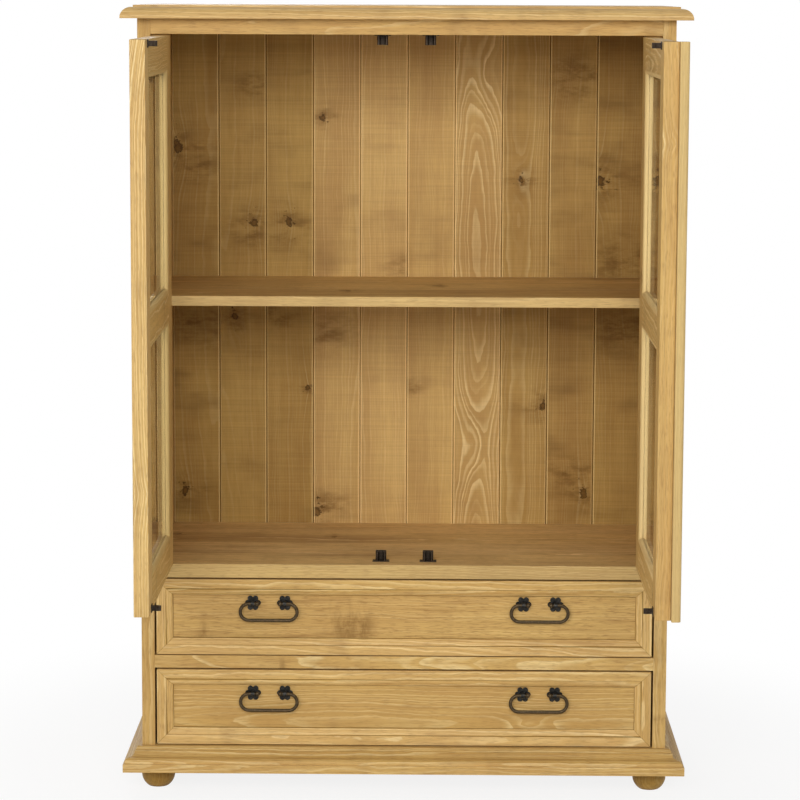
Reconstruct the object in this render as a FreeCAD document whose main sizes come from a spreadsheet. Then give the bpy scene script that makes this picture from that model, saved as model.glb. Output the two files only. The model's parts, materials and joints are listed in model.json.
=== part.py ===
"""A waxed pine display cabinet: two glazed doors over two drawers, on a moulded base with bun feet.

Millimetres, +Z up, +Y towards the wall. The origin is on the floor, at the middle of the carcass.
The doors stand open, as they are shown off, and everything else is at rest.
"""
import FreeCAD, Part
import Sketcher
import math
import os
import re

# The sizes that a maker would set, each written once.
SIZES = {
    # Carcass, from the floor up
    "carcass_width": 935,
    "carcass_depth": 418,
    "side_thickness": 23,
    "foot_height": 42,
    "base_height": 43,
    "drawer_opening": 141,
    "divider_height": 23,
    "divider_depth": 60,
    "floor_thickness": 25,
    "door_opening": 935,
    "frieze_height": 27,
    "frieze_depth": 60,
    "runner_width": 30,
    "runner_height": 18,
    # Top board and its moulded edge
    "top_thickness": 23,
    "top_overhang": 27.5,
    "top_lip": 4.5,
    "top_step": 3.5,
    "top_edge_width": 21,
    "top_edge_radius": 19,
    # Matchboarded back
    "back_thickness": 13,
    "back_board_count": 10,
    "back_rail_depth": 22,
    "tongue_length": 6,
    "tongue_thickness": 4.5,
    "tongue_clearance": 0.3,
    "joint_chamfer": 3,
    # Shelf
    "shelf_height": 474,
    "shelf_thickness": 18,
    "shelf_gap": 17,
    "batten_size": 18,
    # Base and feet
    "base_overhang": 32.5,
    "base_lip": 15,
    "base_quirk": 3,
    "base_fillet": 2,
    "base_ogee_radius": 8.4,
    "base_cap_overhang": 10.5,
    "base_cap_height": 7,
    "base_cap_run": 3,
    "base_cap_radius": 8.5,
    "base_board_thickness": 18,
    "front_rail_thickness": 20,
    "foot_block_size": 80,
    "foot_top_diameter": 44,
    "foot_bottom_diameter": 36,
    "foot_bulge_radius": 27.3,
    "foot_side_inset": 24.5,
    "foot_front_inset": 45,
    # Door frames
    "door_thickness": 25,
    "door_gap": 2,
    "meeting_gap": 2,
    "stile_width": 55,
    "door_rail_width": 55,
    "middle_rail_width": 50,
    "tenon_thickness": 8,
    "tenon_length": 35,
    "tenon_shoulder": 6,
    "tenon_clearance": 0.2,
    "door_open_angle": 90,
    # Glazing
    "sash_depth": 14,
    "sash_width": 12,
    "sash_edge": 2.5,
    "sash_recess": 1.5,
    "sash_radius": 10,
    "glass_thickness": 4,
    "glass_clearance": 0.5,
    "bead_width": 8,
    "bead_edge": 1.5,
    "bead_radius": 7,
    # Strip on the right door that covers the meeting gap
    "astragal_width": 28,
    "astragal_overlap": 13,
    "astragal_thickness": 15.5,
    "astragal_round": 5,
    "astragal_clearance": 0.5,
    # Barrel hinges
    "hinge_inset": 1,
    "hinge_offset": 9,
    "hinge_end_distance": 68,
    "knuckle_radius": 6,
    "knuckle_height": 14,
    "knuckle_gap": 0.3,
    "hinge_pin_radius": 3,
    "hinge_pin_height": 11,
    "hinge_clearance": 0.15,
    "shank_radius": 2.5,
    "shank_length": 26,
    # Clip catches and their strikes
    "catch_distance": 42,
    "catch_clearance": 3,
    "catch_plate_width": 30,
    "catch_plate_depth": 18,
    "catch_sheet": 1.2,
    "catch_width": 19,
    "catch_height": 17,
    "catch_play": 0.3,
    "catch_mouth_depth": 3.5,
    "catch_bend_depth": 7,
    "strike_plate_width": 16,
    "strike_plate_height": 13,
    "strike_sheet": 1.5,
    "strike_rise": 9,
    "strike_length": 16,
    "strike_neck": 3.6,
    "strike_head": 6.2,
    "strike_head_length": 8,
    "strike_tip": 1.6,
    "strike_height": 9,
    # Drawers
    "drawer_side_gap": 3.5,
    "drawer_top_gap": 3,
    "drawer_low_gap": 2,
    "drawer_slide_gap": 0.3,
    "front_frame_thickness": 10,
    "front_panel_thickness": 12,
    "front_border": 16.5,
    "front_slope": 12.8,
    "front_quirk": 1.2,
    "front_slope_edge": 2,
    "front_slope_radius": 17,
    "drawer_side_thickness": 14,
    "drawer_side_drop": 28.7,
    "drawer_back_gap": 13,
    "drawer_bottom_thickness": 5,
    "drawer_bottom_rise": 12,
    "groove_depth": 6,
    "groove_clearance": 0.3,
    "tail_count": 3,
    "tail_length": 8,
    "tail_root": 16,
    "tail_splay": 2.5,
    "tail_clearance": 0.1,
    # Bail pulls
    "handle_distance": 241,
    "rosette_clearance": 1.45,
    "rosette_spacing": 57,
    "rosette_thickness": 2.5,
    "petal_radius": 4.9,
    "petal_offset": 9.2,
    "boss_radius": 7,
    "eye_reach": 10,
    "eye_radius": 5.5,
    "eye_width": 6,
    "post_radius": 4,
    "stem_radius": 2,
    "stem_clearance": 0.2,
    "stem_end": 3.5,
    "nut_radius": 4.5,
    "nut_thickness": 3.5,
    "bail_wire": 6,
    "bail_clearance": 0.3,
    "bail_side_gap": 0.6,
    "bail_overhang": 25,
    "bail_drop": 30,
    "bail_knob": 9,
}

# Places that follow from the sizes.
PLACES = {
    "outer_half": "carcass_width / 2",
    "inner_half": "outer_half - side_thickness",
    "front_y": "-carcass_depth / 2",
    "back_y": "carcass_depth / 2",
    "boards_y": "back_y - back_thickness",
    "base_z": "foot_height",
    "lower_z": "base_z + base_height",
    "divider_z": "lower_z + drawer_opening",
    "upper_z": "divider_z + divider_height",
    "floor_z": "upper_z + drawer_opening",
    "floor_top": "floor_z + floor_thickness",
    "frieze_z": "floor_top + door_opening",
    "top_z": "frieze_z + frieze_height",
    "base_board_z": "lower_z - base_board_thickness",
    "shelf_top": "floor_top + shelf_height",
    "shelf_z": "shelf_top - shelf_thickness",
    "shelf_y": "front_y + door_thickness + shelf_gap",
    "board_cover": "2 * inner_half / back_board_count",
    # Doors, measured from the hinge line: along the door, and from front to back
    "hinge_x": "inner_half - hinge_inset",
    "hinge_y": "front_y - hinge_offset",
    "door_low": "floor_top + door_gap",
    "door_high": "frieze_z - door_gap",
    "hinge_edge": "door_gap - hinge_inset",
    "free_edge": "hinge_x - meeting_gap / 2",
    "glass_left": "hinge_edge + stile_width",
    "glass_right": "free_edge - stile_width",
    "middle_low": "shelf_z + shelf_thickness / 2 - middle_rail_width / 2",
    "middle_high": "middle_low + middle_rail_width",
    "face_front": "hinge_offset",
    "face_back": "hinge_offset + door_thickness",
    "glass_front": "face_front + sash_depth",
    "glass_back": "glass_front + glass_thickness",
    "bead_depth": "face_back - glass_back",
    "tenon_front": "face_front + (door_thickness - tenon_thickness) / 2",
    "tenon_back": "tenon_front + tenon_thickness",
    "strike_u": "hinge_x - catch_distance",
    "catch_y": "front_y + door_thickness + catch_clearance",
    "catch_mouth": "strike_head + 2 * catch_play",
    # Drawers
    "drawer_half": "inner_half - drawer_side_gap",
    "drawer_inner": "drawer_half - drawer_side_thickness",
    "panel_y": "front_y + front_frame_thickness",
    "box_y": "panel_y + front_panel_thickness",
    "box_end": "boards_y - drawer_back_gap",
    "frame_width": "front_border + front_slope",
    "eye_y": "panel_y - eye_reach",
    "petal_rise": "petal_offset * sqrt(3) / 2",
    "bail_width": "rosette_spacing + 2 * bail_overhang",
    "bail_bend": "bail_drop / 2",
    "bail_straight": "bail_width / 2 - bail_wire / 2 - bail_bend",
    "bail_end": "rosette_spacing / 2 - eye_width / 2 - bail_side_gap - bail_knob / 2",
    "bail_hole_radius": "bail_wire / 2 + bail_clearance",
}

doc = FreeCAD.newDocument("display_cabinet")
sheet = doc.addObject("Spreadsheet::Sheet", "Sizes")
cells = {name: str(size) for name, size in SIZES.items()}
cells.update({name: "=" + rule for name, rule in PLACES.items()})
for row, (name, content) in enumerate(cells.items(), 1):
    sheet.set(f"A{row}", name)
    sheet.set(f"B{row}", content)
    sheet.setAlias(f"B{row}", name)
doc.recompute()

X_AXIS, Y_AXIS, Z_AXIS = FreeCAD.Vector(1, 0, 0), FreeCAD.Vector(0, 1, 0), FreeCAD.Vector(0, 0, 1)
UPRIGHT = FreeCAD.Rotation()
TO_RIGHT = FreeCAD.Rotation(Y_AXIS, 90)  # a rod's length, +Z, turned to +X
TO_BACK = FreeCAD.Rotation(X_AXIS, -90)
TO_FRONT = FreeCAD.Rotation(X_AXIS, 90)
LEFT, RIGHT = -1, 1
SIDE_NAMES = {LEFT: "left", RIGHT: "right"}
nodes = []


def full(rule):
    """A rule in the sheet's names, as an expression that any object of the document can hold."""
    return re.sub(r"[a-z]\w*", lambda word: "Sizes." + word[0] if word[0] in cells else word[0], str(rule))


def value(rule):
    return float(sheet.evalExpression(full(rule)))


def bind(thing, **rules):
    for path, rule in rules.items():
        thing.setExpression(path, full(rule))


def place(thing, x, y, z, turn=UPRIGHT):
    thing.Placement = FreeCAD.Placement(FreeCAD.Vector(value(x), value(y), value(z)), turn)
    for axis, rule in zip("xyz", (x, y, z)):
        thing.setExpression("Placement.Base." + axis, full(rule))
    return thing


def node(label, piece):
    piece.Label = label
    nodes.append(piece)
    return piece


def board(x, y, z):
    """A plain board from its low and high place along each axis."""
    piece = doc.addObject("Part::Box", "board")
    lengths = [f"({high}) - ({low})" for low, high in (x, y, z)]
    bind(piece, Length=lengths[0], Width=lengths[1], Height=lengths[2])
    return place(piece, x[0], y[0], z[0])


def rod(radius, length, x, y, z, turn=UPRIGHT):
    piece = doc.addObject("Part::Cylinder", "rod")
    bind(piece, Radius=radius, Height=length)
    return place(piece, x, y, z, turn)


def group(pieces):
    whole = doc.addObject("Part::Compound", "group")
    whole.Links = pieces
    return whole


def fuse(*pieces):
    whole = doc.addObject("Part::MultiFuse", "fuse")
    whole.Shapes = list(pieces)
    whole.Refine = True
    return whole


def cut(base, *tools):
    left = doc.addObject("Part::Cut", "cut")
    left.Base = base
    left.Tool = tools[0] if len(tools) == 1 else group(list(tools))
    left.Refine = True
    return left


def arc(start, end, radius, side):
    """The short arc from start to end whose centre is on the left (1) or the right (-1) of the way."""
    chord = end - start
    height = math.sqrt(max(radius**2 - (chord.Length / 2) ** 2, 0))
    centre = (start + end) / 2 + FreeCAD.Vector(-chord.y, chord.x, 0).normalize() * height * side
    first, last = [point - centre for point in ((start, end) if side > 0 else (end, start))]
    circle = Part.Circle(centre, Z_AXIS, radius)
    return Part.ArcOfCircle(circle, math.atan2(first.y, first.x), math.atan2(last.y, last.x))


def outline(body, plane, *loops, closed=True):
    """A sketch on one of the body's planes. A corner is (u, v), or (u, v, radius, side) before an arc."""
    sketch = body.newObject("Sketcher::SketchObject", "outline")
    sketch.AttachmentSupport = [(next(p for p in body.Origin.OriginFeatures if p.Role == plane), "")]
    sketch.MapMode = "FlatFace"
    for corners in loops:
        points = [FreeCAD.Vector(value(corner[0]), value(corner[1]), 0) for corner in corners]
        ends = []
        for index, corner in enumerate(corners if closed else corners[:-1]):
            start, end = points[index], points[(index + 1) % len(points)]
            bent = len(corner) == 4
            edge = arc(start, end, value(corner[2]), corner[3]) if bent else Part.LineSegment(start, end)
            place_of = sketch.addGeometry(edge, False)
            ends.append((place_of, 2, 1) if bent and corner[3] < 0 else (place_of, 1, 2))
            if bent:
                radius = sketch.addConstraint(Sketcher.Constraint("Radius", place_of, value(corner[2])))
                sketch.setExpression(f"Constraints[{radius}]", full(corner[2]))
        corner_ends = [(edge, begin) for edge, begin, _ in ends]
        if not closed:
            corner_ends.append((ends[-1][0], ends[-1][2]))
        for (u, v), (edge, point) in zip([corner[:2] for corner in corners], corner_ends):
            for kind, axis, rule in (("DistanceX", -2, u), ("DistanceY", -1, v)):
                if rule == "0":
                    sketch.addConstraint(Sketcher.Constraint("PointOnObject", edge, point, axis))
                    continue
                held = sketch.addConstraint(Sketcher.Constraint(kind, -1, 1, edge, point, value(rule)))
                sketch.setExpression(f"Constraints[{held}]", full(rule))
        for index in range(len(ends) if closed else len(ends) - 1):
            (edge, _, finish), (after, begin, _) = ends[index], ends[(index + 1) % len(ends)]
            sketch.addConstraint(Sketcher.Constraint("Coincident", edge, finish, after, begin))
    return sketch


def new_body():
    return doc.addObject("PartDesign::Body", "body")


def pad(body, sketch, length):
    feature = body.newObject("PartDesign::Pad", "pad")
    feature.Profile = sketch
    bind(feature, Length=length)
    return feature


def profile(plane, corners, length):
    """A body with one outline run out to a length: along +Z, -Y or +X for XY_Plane, XZ_Plane or YZ_Plane."""
    body = new_body()
    pad(body, outline(body, plane, corners), length)
    return body


def turned(corners):
    """A body turned about +Z, from a half outline of (radius, height) corners."""
    body = new_body()
    feature = body.newObject("PartDesign::Revolution", "turning")
    feature.Profile = outline(body, "XZ_Plane", corners)
    feature.ReferenceAxis = (feature.Profile[0], ["V_Axis"])
    feature.Angle = 360
    return body


def strip(corners, width, length, mitres=(True, True)):
    """A length of moulding along +X, its section in +Y (inwards) and +Z (outwards), mitred at its ends."""
    body = new_body()
    run = pad(body, outline(body, "YZ_Plane", corners), length)
    start = [("0", "0"), (width, width), ("0", width)]
    end = [(length, "0"), (length, width), (f"{length} - ({width})", width)]
    waste = outline(body, "XY_Plane", *[corner for corner, mitred in zip((start, end), mitres) if mitred])
    mitre = body.newObject("PartDesign::Pocket", "mitre")
    mitre.Profile = waste
    mitre.Type = "ThroughAll"
    mitre.Reversed = True
    doc.recompute()
    if mitre.Shape.Volume > run.Shape.Volume - 1:
        raise RuntimeError("a mitre took nothing off its moulding")
    return body


def frame_of_strips(corners, width, x, y, z, facing):
    """Four mitred lengths inside a rectangle in X and Z, facing the front (-1) or the back (1)."""
    spans = {"x": f"({x[1]}) - ({x[0]})", "z": f"({z[1]}) - ({z[0]})"}
    turn = TO_FRONT if facing < 0 else FreeCAD.Rotation(Z_AXIS, 180) * TO_FRONT
    near, far = (x[0], x[1]) if facing < 0 else (x[1], x[0])
    starts = [(near, z[0]), (far, z[0]), (far, z[1]), (near, z[1])]
    lengths = []
    for quarter, (start_x, start_z) in enumerate(starts):
        piece = strip(corners, width, spans["xz"[quarter % 2]])
        corner_turn = FreeCAD.Rotation(Y_AXIS, facing * 90 * quarter) * turn
        lengths.append(place(piece, start_x, y, start_z, corner_turn))
    return lengths


# Top board: its edge is moulded along the front and both ends, and square at the wall.
tip_x = "(outer_half + top_overhang)"
tip_y = "(front_y - top_overhang)"
shoulder_x = f"({tip_x} - top_edge_width)"
shoulder_y = f"({tip_y} + top_edge_width)"
under_step = "top_thickness - top_step"
front_section = [
    (tip_y, "0"),
    ("back_y", "0"),
    ("back_y", "top_thickness"),
    (shoulder_y, "top_thickness"),
    (shoulder_y, under_step, "top_edge_radius", 1),
    (tip_y, "top_lip"),
]
end_section = [
    (f"-{tip_x}", "0"),
    (tip_x, "0"),
    (tip_x, "top_lip", "top_edge_radius", 1),
    (shoulder_x, under_step),
    (shoulder_x, "top_thickness"),
    (f"-{shoulder_x}", "top_thickness"),
    (f"-{shoulder_x}", under_step, "top_edge_radius", 1),
    (f"-{tip_x}", "top_lip"),
]
front_run = place(profile("YZ_Plane", front_section, f"2 * {tip_x}"), f"-{tip_x}", "0", "top_z")
end_run = place(profile("XZ_Plane", end_section, f"back_y - {tip_y}"), "0", "back_y", "top_z")
top_board = node("top_board", doc.addObject("Part::Common", "common"))
top_board.Base = front_run
top_board.Tool = end_run


def sided(hand, near, far):
    """The low and high X of what lies between two distances from the middle, on the left or the right."""
    return (near, far) if hand == RIGHT else (f"-({far})", f"-({near})")


def slanted(hand):
    """A rod's length turned back and to one side, half and half."""
    return FreeCAD.Rotation(Z_AXIS, FreeCAD.Vector(hand, 1, 0))


# Side panels, bored on the slant at the front edge for the shanks of the hinges.
hinge_heights = ["door_low + hinge_end_distance", "door_high - hinge_end_distance"]
bore_radius = "shank_radius + hinge_clearance"
bore_length = "shank_length + hinge_clearance"
for hand in (LEFT, RIGHT):
    blank = board(sided(hand, "inner_half", "outer_half"), ("front_y", "back_y"), ("base_z", "top_z"))
    bores = []
    for height in hinge_heights:
        middle = f"{height} - knuckle_height / 2"
        bores.append(rod(bore_radius, bore_length, f"{hand} * hinge_x", "hinge_y", middle, slanted(hand)))
    node(f"{SIDE_NAMES[hand]}_side_panel", cut(blank, *bores))

# Rails and boards that run from side to side.
between = ("-inner_half", "inner_half")
node("frieze_rail", board(between, ("front_y", "front_y + frieze_depth"), ("frieze_z", "top_z")))
node("back_top_rail", board(between, ("boards_y - back_rail_depth", "boards_y"), ("frieze_z", "top_z")))
node("shelf", board(between, ("shelf_y", "boards_y"), ("shelf_z", "shelf_top")))
node("cabinet_floor", board(between, ("front_y", "boards_y"), ("floor_z", "floor_top")))
node("drawer_divider_rail", board(between, ("front_y", "front_y + divider_depth"), ("divider_z", "upper_z")))
rail_back = "front_y + front_rail_thickness"
node("bottom_front_rail", board(between, ("front_y", rail_back), ("base_z", "lower_z")))
node("base_board", board(between, (rail_back, "boards_y"), ("base_board_z", "lower_z")))

# Battens under the shelf and runners under the upper drawer, one on each side panel.
battens, runners = [], []
for hand in (LEFT, RIGHT):
    batten_x = sided(hand, "inner_half - batten_size", "inner_half")
    runner_x = sided(hand, "inner_half - runner_width", "inner_half")
    runner_y = ("front_y + divider_depth", "boards_y")
    battens.append(board(batten_x, ("shelf_y", "boards_y"), ("shelf_z - batten_size", "shelf_z")))
    runners.append(board(runner_x, runner_y, ("upper_z - runner_height", "upper_z")))
node("shelf_battens", group(battens))
node("drawer_runners", group(runners))

# Back: matched boards, tongued, grooved and chamfered, which stand side by side behind everything else.
tongue_low = "(back_thickness - tongue_thickness) / 2"
tongue_high = "(back_thickness + tongue_thickness) / 2"
tongue_tip = "board_cover + tongue_length - tongue_clearance"
tongue = [
    ("board_cover", tongue_low),
    (tongue_tip, tongue_low),
    (tongue_tip, tongue_high),
    ("board_cover", tongue_high),
]
groove = [
    ("0", f"{tongue_high} + tongue_clearance"),
    ("tongue_length", f"{tongue_high} + tongue_clearance"),
    ("tongue_length", f"{tongue_low} - tongue_clearance"),
    ("0", f"{tongue_low} - tongue_clearance"),
]
front_edge = [
    ("joint_chamfer", "0"),
    ("board_cover - joint_chamfer", "0"),
    ("board_cover", "joint_chamfer"),
]
back_edge = [("board_cover", "back_thickness"), ("0", "back_thickness")]
board_count = round(value("back_board_count"))
back_boards = []
for index in range(board_count):
    section = front_edge + (tongue if index < board_count - 1 else []) + back_edge
    section += (groove if index > 0 else []) + [("0", "joint_chamfer")]
    back_board = profile("XY_Plane", section, "top_z - base_z")
    back_boards.append(place(back_board, f"{index} * board_cover - inner_half", "boards_y", "base_z"))
node("back_boards", group(back_boards))

# Base moulding: a lip, an ogee and a rounded cap, mitred at the two front corners.
ogee_low = "base_lip + base_fillet"
ogee_high = f"{ogee_low} + 2 * base_ogee_radius"
cap_low = "base_height - base_cap_height"
cap_in = "base_overhang - base_cap_overhang"
ogee_in = "base_quirk + 2 * base_ogee_radius"
base_section = [
    ("0", "0"),
    ("base_overhang", "0"),
    ("base_overhang", "base_height"),
    (f"{cap_in} + base_cap_run", "base_height", "base_cap_radius", 1),
    (cap_in, cap_low),
    (ogee_in, cap_low),
    (ogee_in, ogee_high, "base_ogee_radius", -1),
    ("base_quirk + base_ogee_radius", f"{ogee_low} + base_ogee_radius", "base_ogee_radius", 1),
    ("base_quirk", ogee_low),
    ("base_quirk", "base_lip"),
    ("0", "base_lip"),
]
base_tip_x = "(outer_half + base_overhang)"
base_tip_y = "front_y - base_overhang"
side_run = "carcass_depth + base_overhang"
front_base = strip(base_section, "base_overhang", f"2 * {base_tip_x}")
left_base = strip(base_section, "base_overhang", side_run, (False, True))
right_base = strip(base_section, "base_overhang", side_run, (True, False))
node("front_base_moulding", place(front_base, f"-{base_tip_x}", base_tip_y, "base_z"))
place(left_base, f"-{base_tip_x}", "back_y", "base_z", FreeCAD.Rotation(Z_AXIS, -90))
place(right_base, base_tip_x, base_tip_y, "base_z", FreeCAD.Rotation(Z_AXIS, 90))
node("left_base_moulding", left_base)
node("right_base_moulding", right_base)

# Bun feet, turned, under blocks glued into the corners of the base.
foot_section = [
    ("0", "0"),
    ("foot_bottom_diameter / 2", "0", "foot_bulge_radius", 1),
    ("foot_top_diameter / 2", "foot_height"),
    ("0", "foot_height"),
]
block_y = {
    -1: (rail_back, f"{rail_back} + foot_block_size"),
    1: ("boards_y - foot_block_size", "boards_y"),
}
feet, blocks = [], []
for hand in (LEFT, RIGHT):
    block_x = sided(hand, "inner_half - foot_block_size", "inner_half")
    foot_x = f"{hand} * (outer_half - foot_side_inset)"
    for end in (-1, 1):
        blocks.append(board(block_x, block_y[end], ("base_z", "base_board_z")))
        feet.append(place(turned(foot_section), foot_x, f"{end} * (back_y - foot_front_inset)", "0"))
node("foot_blocks", group(blocks))
node("bun_feet", group(feet))

# Clip catches under the frieze and on the floor: a plate, and on it a sheet bent to a clip, whose two sprung
# leaves close behind the strike.
leaf_out = "catch_width / 2"
leaf_in = f"({leaf_out} - catch_sheet)"
mouth = "catch_mouth / 2"
lead_in = f"({leaf_in} + {mouth}) / 2"
bend_sheet = "catch_sheet * sqrt(2)"
leaf_section = [
    (leaf_out, "catch_plate_depth"),
    (leaf_in, "catch_plate_depth"),
    (leaf_in, "catch_bend_depth"),
    (mouth, "catch_mouth_depth"),
    (lead_in, "0"),
    (f"{lead_in} + {bend_sheet}", "0"),
    (f"{mouth} + {bend_sheet}", "catch_mouth_depth"),
    (leaf_out, "catch_bend_depth - catch_sheet / 2"),
]


def catch(x, plate_z, leaf_z):
    half_plate = "catch_plate_width / 2"
    plate_x = (f"{x} - {half_plate}", f"{x} + {half_plate}")
    plate = board(plate_x, ("catch_y", "catch_y + catch_plate_depth"), (plate_z, f"{plate_z} + catch_sheet"))
    leaves = []
    for hand in (LEFT, RIGHT):
        section = [(f"{hand} * ({across})", depth) for across, depth in leaf_section]
        leaves.append(place(profile("XY_Plane", section, "catch_height"), x, "catch_y", leaf_z))
    web_x = (f"{x} - {leaf_out}", f"{x} + {leaf_out}")
    web_y = ("catch_y + catch_plate_depth - catch_sheet", "catch_y + catch_plate_depth")
    return fuse(plate, *leaves, board(web_x, web_y, (leaf_z, f"{leaf_z} + catch_height")))


catches = []
for hand in (LEFT, RIGHT):
    catch_x = f"{hand} * catch_distance"
    catches.append(catch(catch_x, "floor_top", "floor_top + catch_sheet"))
    catches.append(catch(catch_x, "frieze_z - catch_sheet", "frieze_z - catch_sheet - catch_height"))
node("door_catches", group(catches))

# Barrel hinges: the lower knuckle has the pin and screws into the side panel.
# The upper one lifts off with the door.
frame_knuckles = []
for hand in (LEFT, RIGHT):
    for height in hinge_heights:
        low, middle = f"{height} - knuckle_height", f"{height} - knuckle_height / 2"
        at = (f"{hand} * hinge_x", "hinge_y")
        barrel = rod("knuckle_radius", "knuckle_height", *at, low)
        pin = rod("hinge_pin_radius", "knuckle_height + hinge_pin_height", *at, low)
        shank = rod("shank_radius", "shank_length", *at, middle, slanted(hand))
        frame_knuckles.append(fuse(barrel, pin, shank))
node("hinge_frame_knuckles", group(frame_knuckles))


def hung(hand, label, *pieces):
    """Pieces drawn about the hinge line of a closed door, hung there and swung open together."""
    swing = FreeCAD.Rotation(Z_AXIS, hand * value("door_open_angle"))
    leaf = place(group(list(pieces)), f"{hand} * hinge_x", "hinge_y", "0", swing)
    return node(f"{SIDE_NAMES[hand]}_door_{label}", leaf)


# Doors: mortised stiles, tenoned rails, and two panes held by a mitred moulding in front and beads behind.
door_face = ("face_front", "face_back")
door_rails = {
    "bottom_rail": ("door_low", "door_low + door_rail_width"),
    "middle_rail": ("middle_low", "middle_high"),
    "top_rail": ("door_high - door_rail_width", "door_high"),
}
lights = [
    (door_rails["bottom_rail"][1], "middle_low"),
    ("middle_high", door_rails["top_rail"][0]),
]
sash_section = [
    ("0", "0"),
    ("sash_width", "0"),
    ("sash_width", "sash_edge", "sash_radius", 1),
    ("sash_edge", "sash_depth - sash_recess"),
    ("0", "sash_depth - sash_recess"),
]
bead_section = [
    ("0", "0"),
    ("bead_width", "0"),
    ("bead_width", "bead_edge", "bead_radius", 1),
    ("bead_edge", "bead_depth"),
    ("0", "bead_depth"),
]
tongue_half, head_half = "strike_neck / 2", "strike_head / 2"
head_start, head_widest = "strike_length - strike_head_length", "strike_length - strike_head_length / 2"
strike_section = [
    (f"-{tongue_half}", "0"),
    (tongue_half, "0"),
    (tongue_half, head_start),
    (head_half, head_widest),
    ("strike_tip / 2", "strike_length"),
    ("-strike_tip / 2", "strike_length"),
    (f"-{head_half}", head_widest),
    (f"-{tongue_half}", head_start),
]


def mortise(hand, near, far, rail):
    low = f"{rail[0]} + tenon_shoulder - tenon_clearance"
    high = f"{rail[1]} - tenon_shoulder + tenon_clearance"
    face = ("tenon_front - tenon_clearance", "tenon_back + tenon_clearance")
    return board(sided(-hand, near, far), face, (low, high))


def door(hand):
    glass_x = sided(-hand, "glass_left", "glass_right")
    stile_z = ("door_low", "door_high")
    hinge_stile = board(sided(-hand, "hinge_edge", "glass_left"), door_face, stile_z)
    meeting_stile = board(sided(-hand, "glass_right", "free_edge"), door_face, stile_z)
    tenon_in = "tenon_length + tenon_clearance"
    hinge_waste, meeting_waste, knuckles = [], [], []
    for rail in door_rails.values():
        hinge_waste.append(mortise(hand, f"glass_left - ({tenon_in})", "glass_left", rail))
        meeting_waste.append(mortise(hand, "glass_right", f"glass_right + {tenon_in}", rail))
    for height in hinge_heights:
        low, middle = f"{height} + knuckle_gap", f"{height} + knuckle_gap + knuckle_height / 2"
        hinge_waste.append(rod(bore_radius, bore_length, "0", "0", middle, slanted(-hand)))
        barrel = rod("knuckle_radius", "knuckle_height", "0", "0", low)
        shank = rod("shank_radius", "shank_length", "0", "0", middle, slanted(-hand))
        socket = rod("hinge_pin_radius + hinge_clearance", "hinge_pin_height", "0", "0", low)
        knuckles.append(cut(fuse(barrel, shank), socket))
    hung(hand, "hinge_stile", cut(hinge_stile, *hinge_waste))
    hung(hand, "meeting_stile", cut(meeting_stile, *meeting_waste))
    hung(hand, "hinge_knuckles", *knuckles)

    tenon_x = sided(-hand, "glass_left - tenon_length", "glass_right + tenon_length")
    for label, (low, high) in door_rails.items():
        tenon_z = (f"{low} + tenon_shoulder", f"{high} - tenon_shoulder")
        tenons = board(tenon_x, ("tenon_front", "tenon_back"), tenon_z)
        hung(hand, label, fuse(board(glass_x, door_face, (low, high)), tenons))

    pane_x = sided(-hand, "glass_left + glass_clearance", "glass_right - glass_clearance")
    panes, mouldings, beads = [], [], []
    for low, high in lights:
        pane_z = (f"{low} + glass_clearance", f"{high} - glass_clearance")
        panes.append(board(pane_x, ("glass_front", "glass_back"), pane_z))
        mouldings += frame_of_strips(sash_section, "sash_width", glass_x, "glass_front", (low, high), -1)
        beads += frame_of_strips(bead_section, "bead_width", glass_x, "glass_back", (low, high), 1)
    hung(hand, "panes", *panes)
    hung(hand, "sash_mouldings", *mouldings)
    hung(hand, "glazing_beads", *beads)

    strikes = []
    for middle in ("floor_top + strike_rise", "frieze_z - strike_rise"):
        plate_x = sided(-hand, "strike_u - strike_plate_width / 2", "strike_u + strike_plate_width / 2")
        plate_z = (f"{middle} - strike_plate_height / 2", f"{middle} + strike_plate_height / 2")
        plate = board(plate_x, ("face_back", "face_back + strike_sheet"), plate_z)
        spear = profile("XY_Plane", strike_section, "strike_height")
        place(spear, f"{-hand} * strike_u", "face_back", f"{middle} - strike_height / 2")
        strikes.append(fuse(plate, spear))
    hung(hand, "strikes", *strikes)


door(LEFT)
door(RIGHT)

# Astragal: a rounded strip planted on the right door, which laps over the left one.
strip_near = "-(free_edge - (astragal_width - astragal_overlap))"
strip_far = "-(free_edge + astragal_overlap)"
lap_edge = "-(free_edge - meeting_gap)"
strip_front = "face_front - astragal_thickness"
astragal_section = [
    (strip_near, "face_front"),
    (strip_near, f"{strip_front} + astragal_round", "astragal_round", -1),
    (f"{strip_near} - astragal_round", strip_front),
    (f"{strip_far} + astragal_round", strip_front, "astragal_round", -1),
    (strip_far, f"{strip_front} + astragal_round"),
    (strip_far, "face_front - astragal_clearance"),
    (lap_edge, "face_front - astragal_clearance"),
    (lap_edge, "face_front"),
]
astragal = place(profile("XY_Plane", astragal_section, "door_high - door_low"), "0", "0", "door_low")
hung(RIGHT, "astragal", astragal)

# Drawers: a dovetailed box with its bottom in grooves, its front framed by a mitred moulding, with two pulls.
front_moulding_section = [
    ("0", "0"),
    ("frame_width", "0"),
    ("frame_width", "front_slope_edge", "front_slope_radius", 1),
    ("front_border", "front_frame_thickness - front_quirk"),
    ("front_border", "front_frame_thickness"),
    ("0", "front_frame_thickness"),
]


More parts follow.
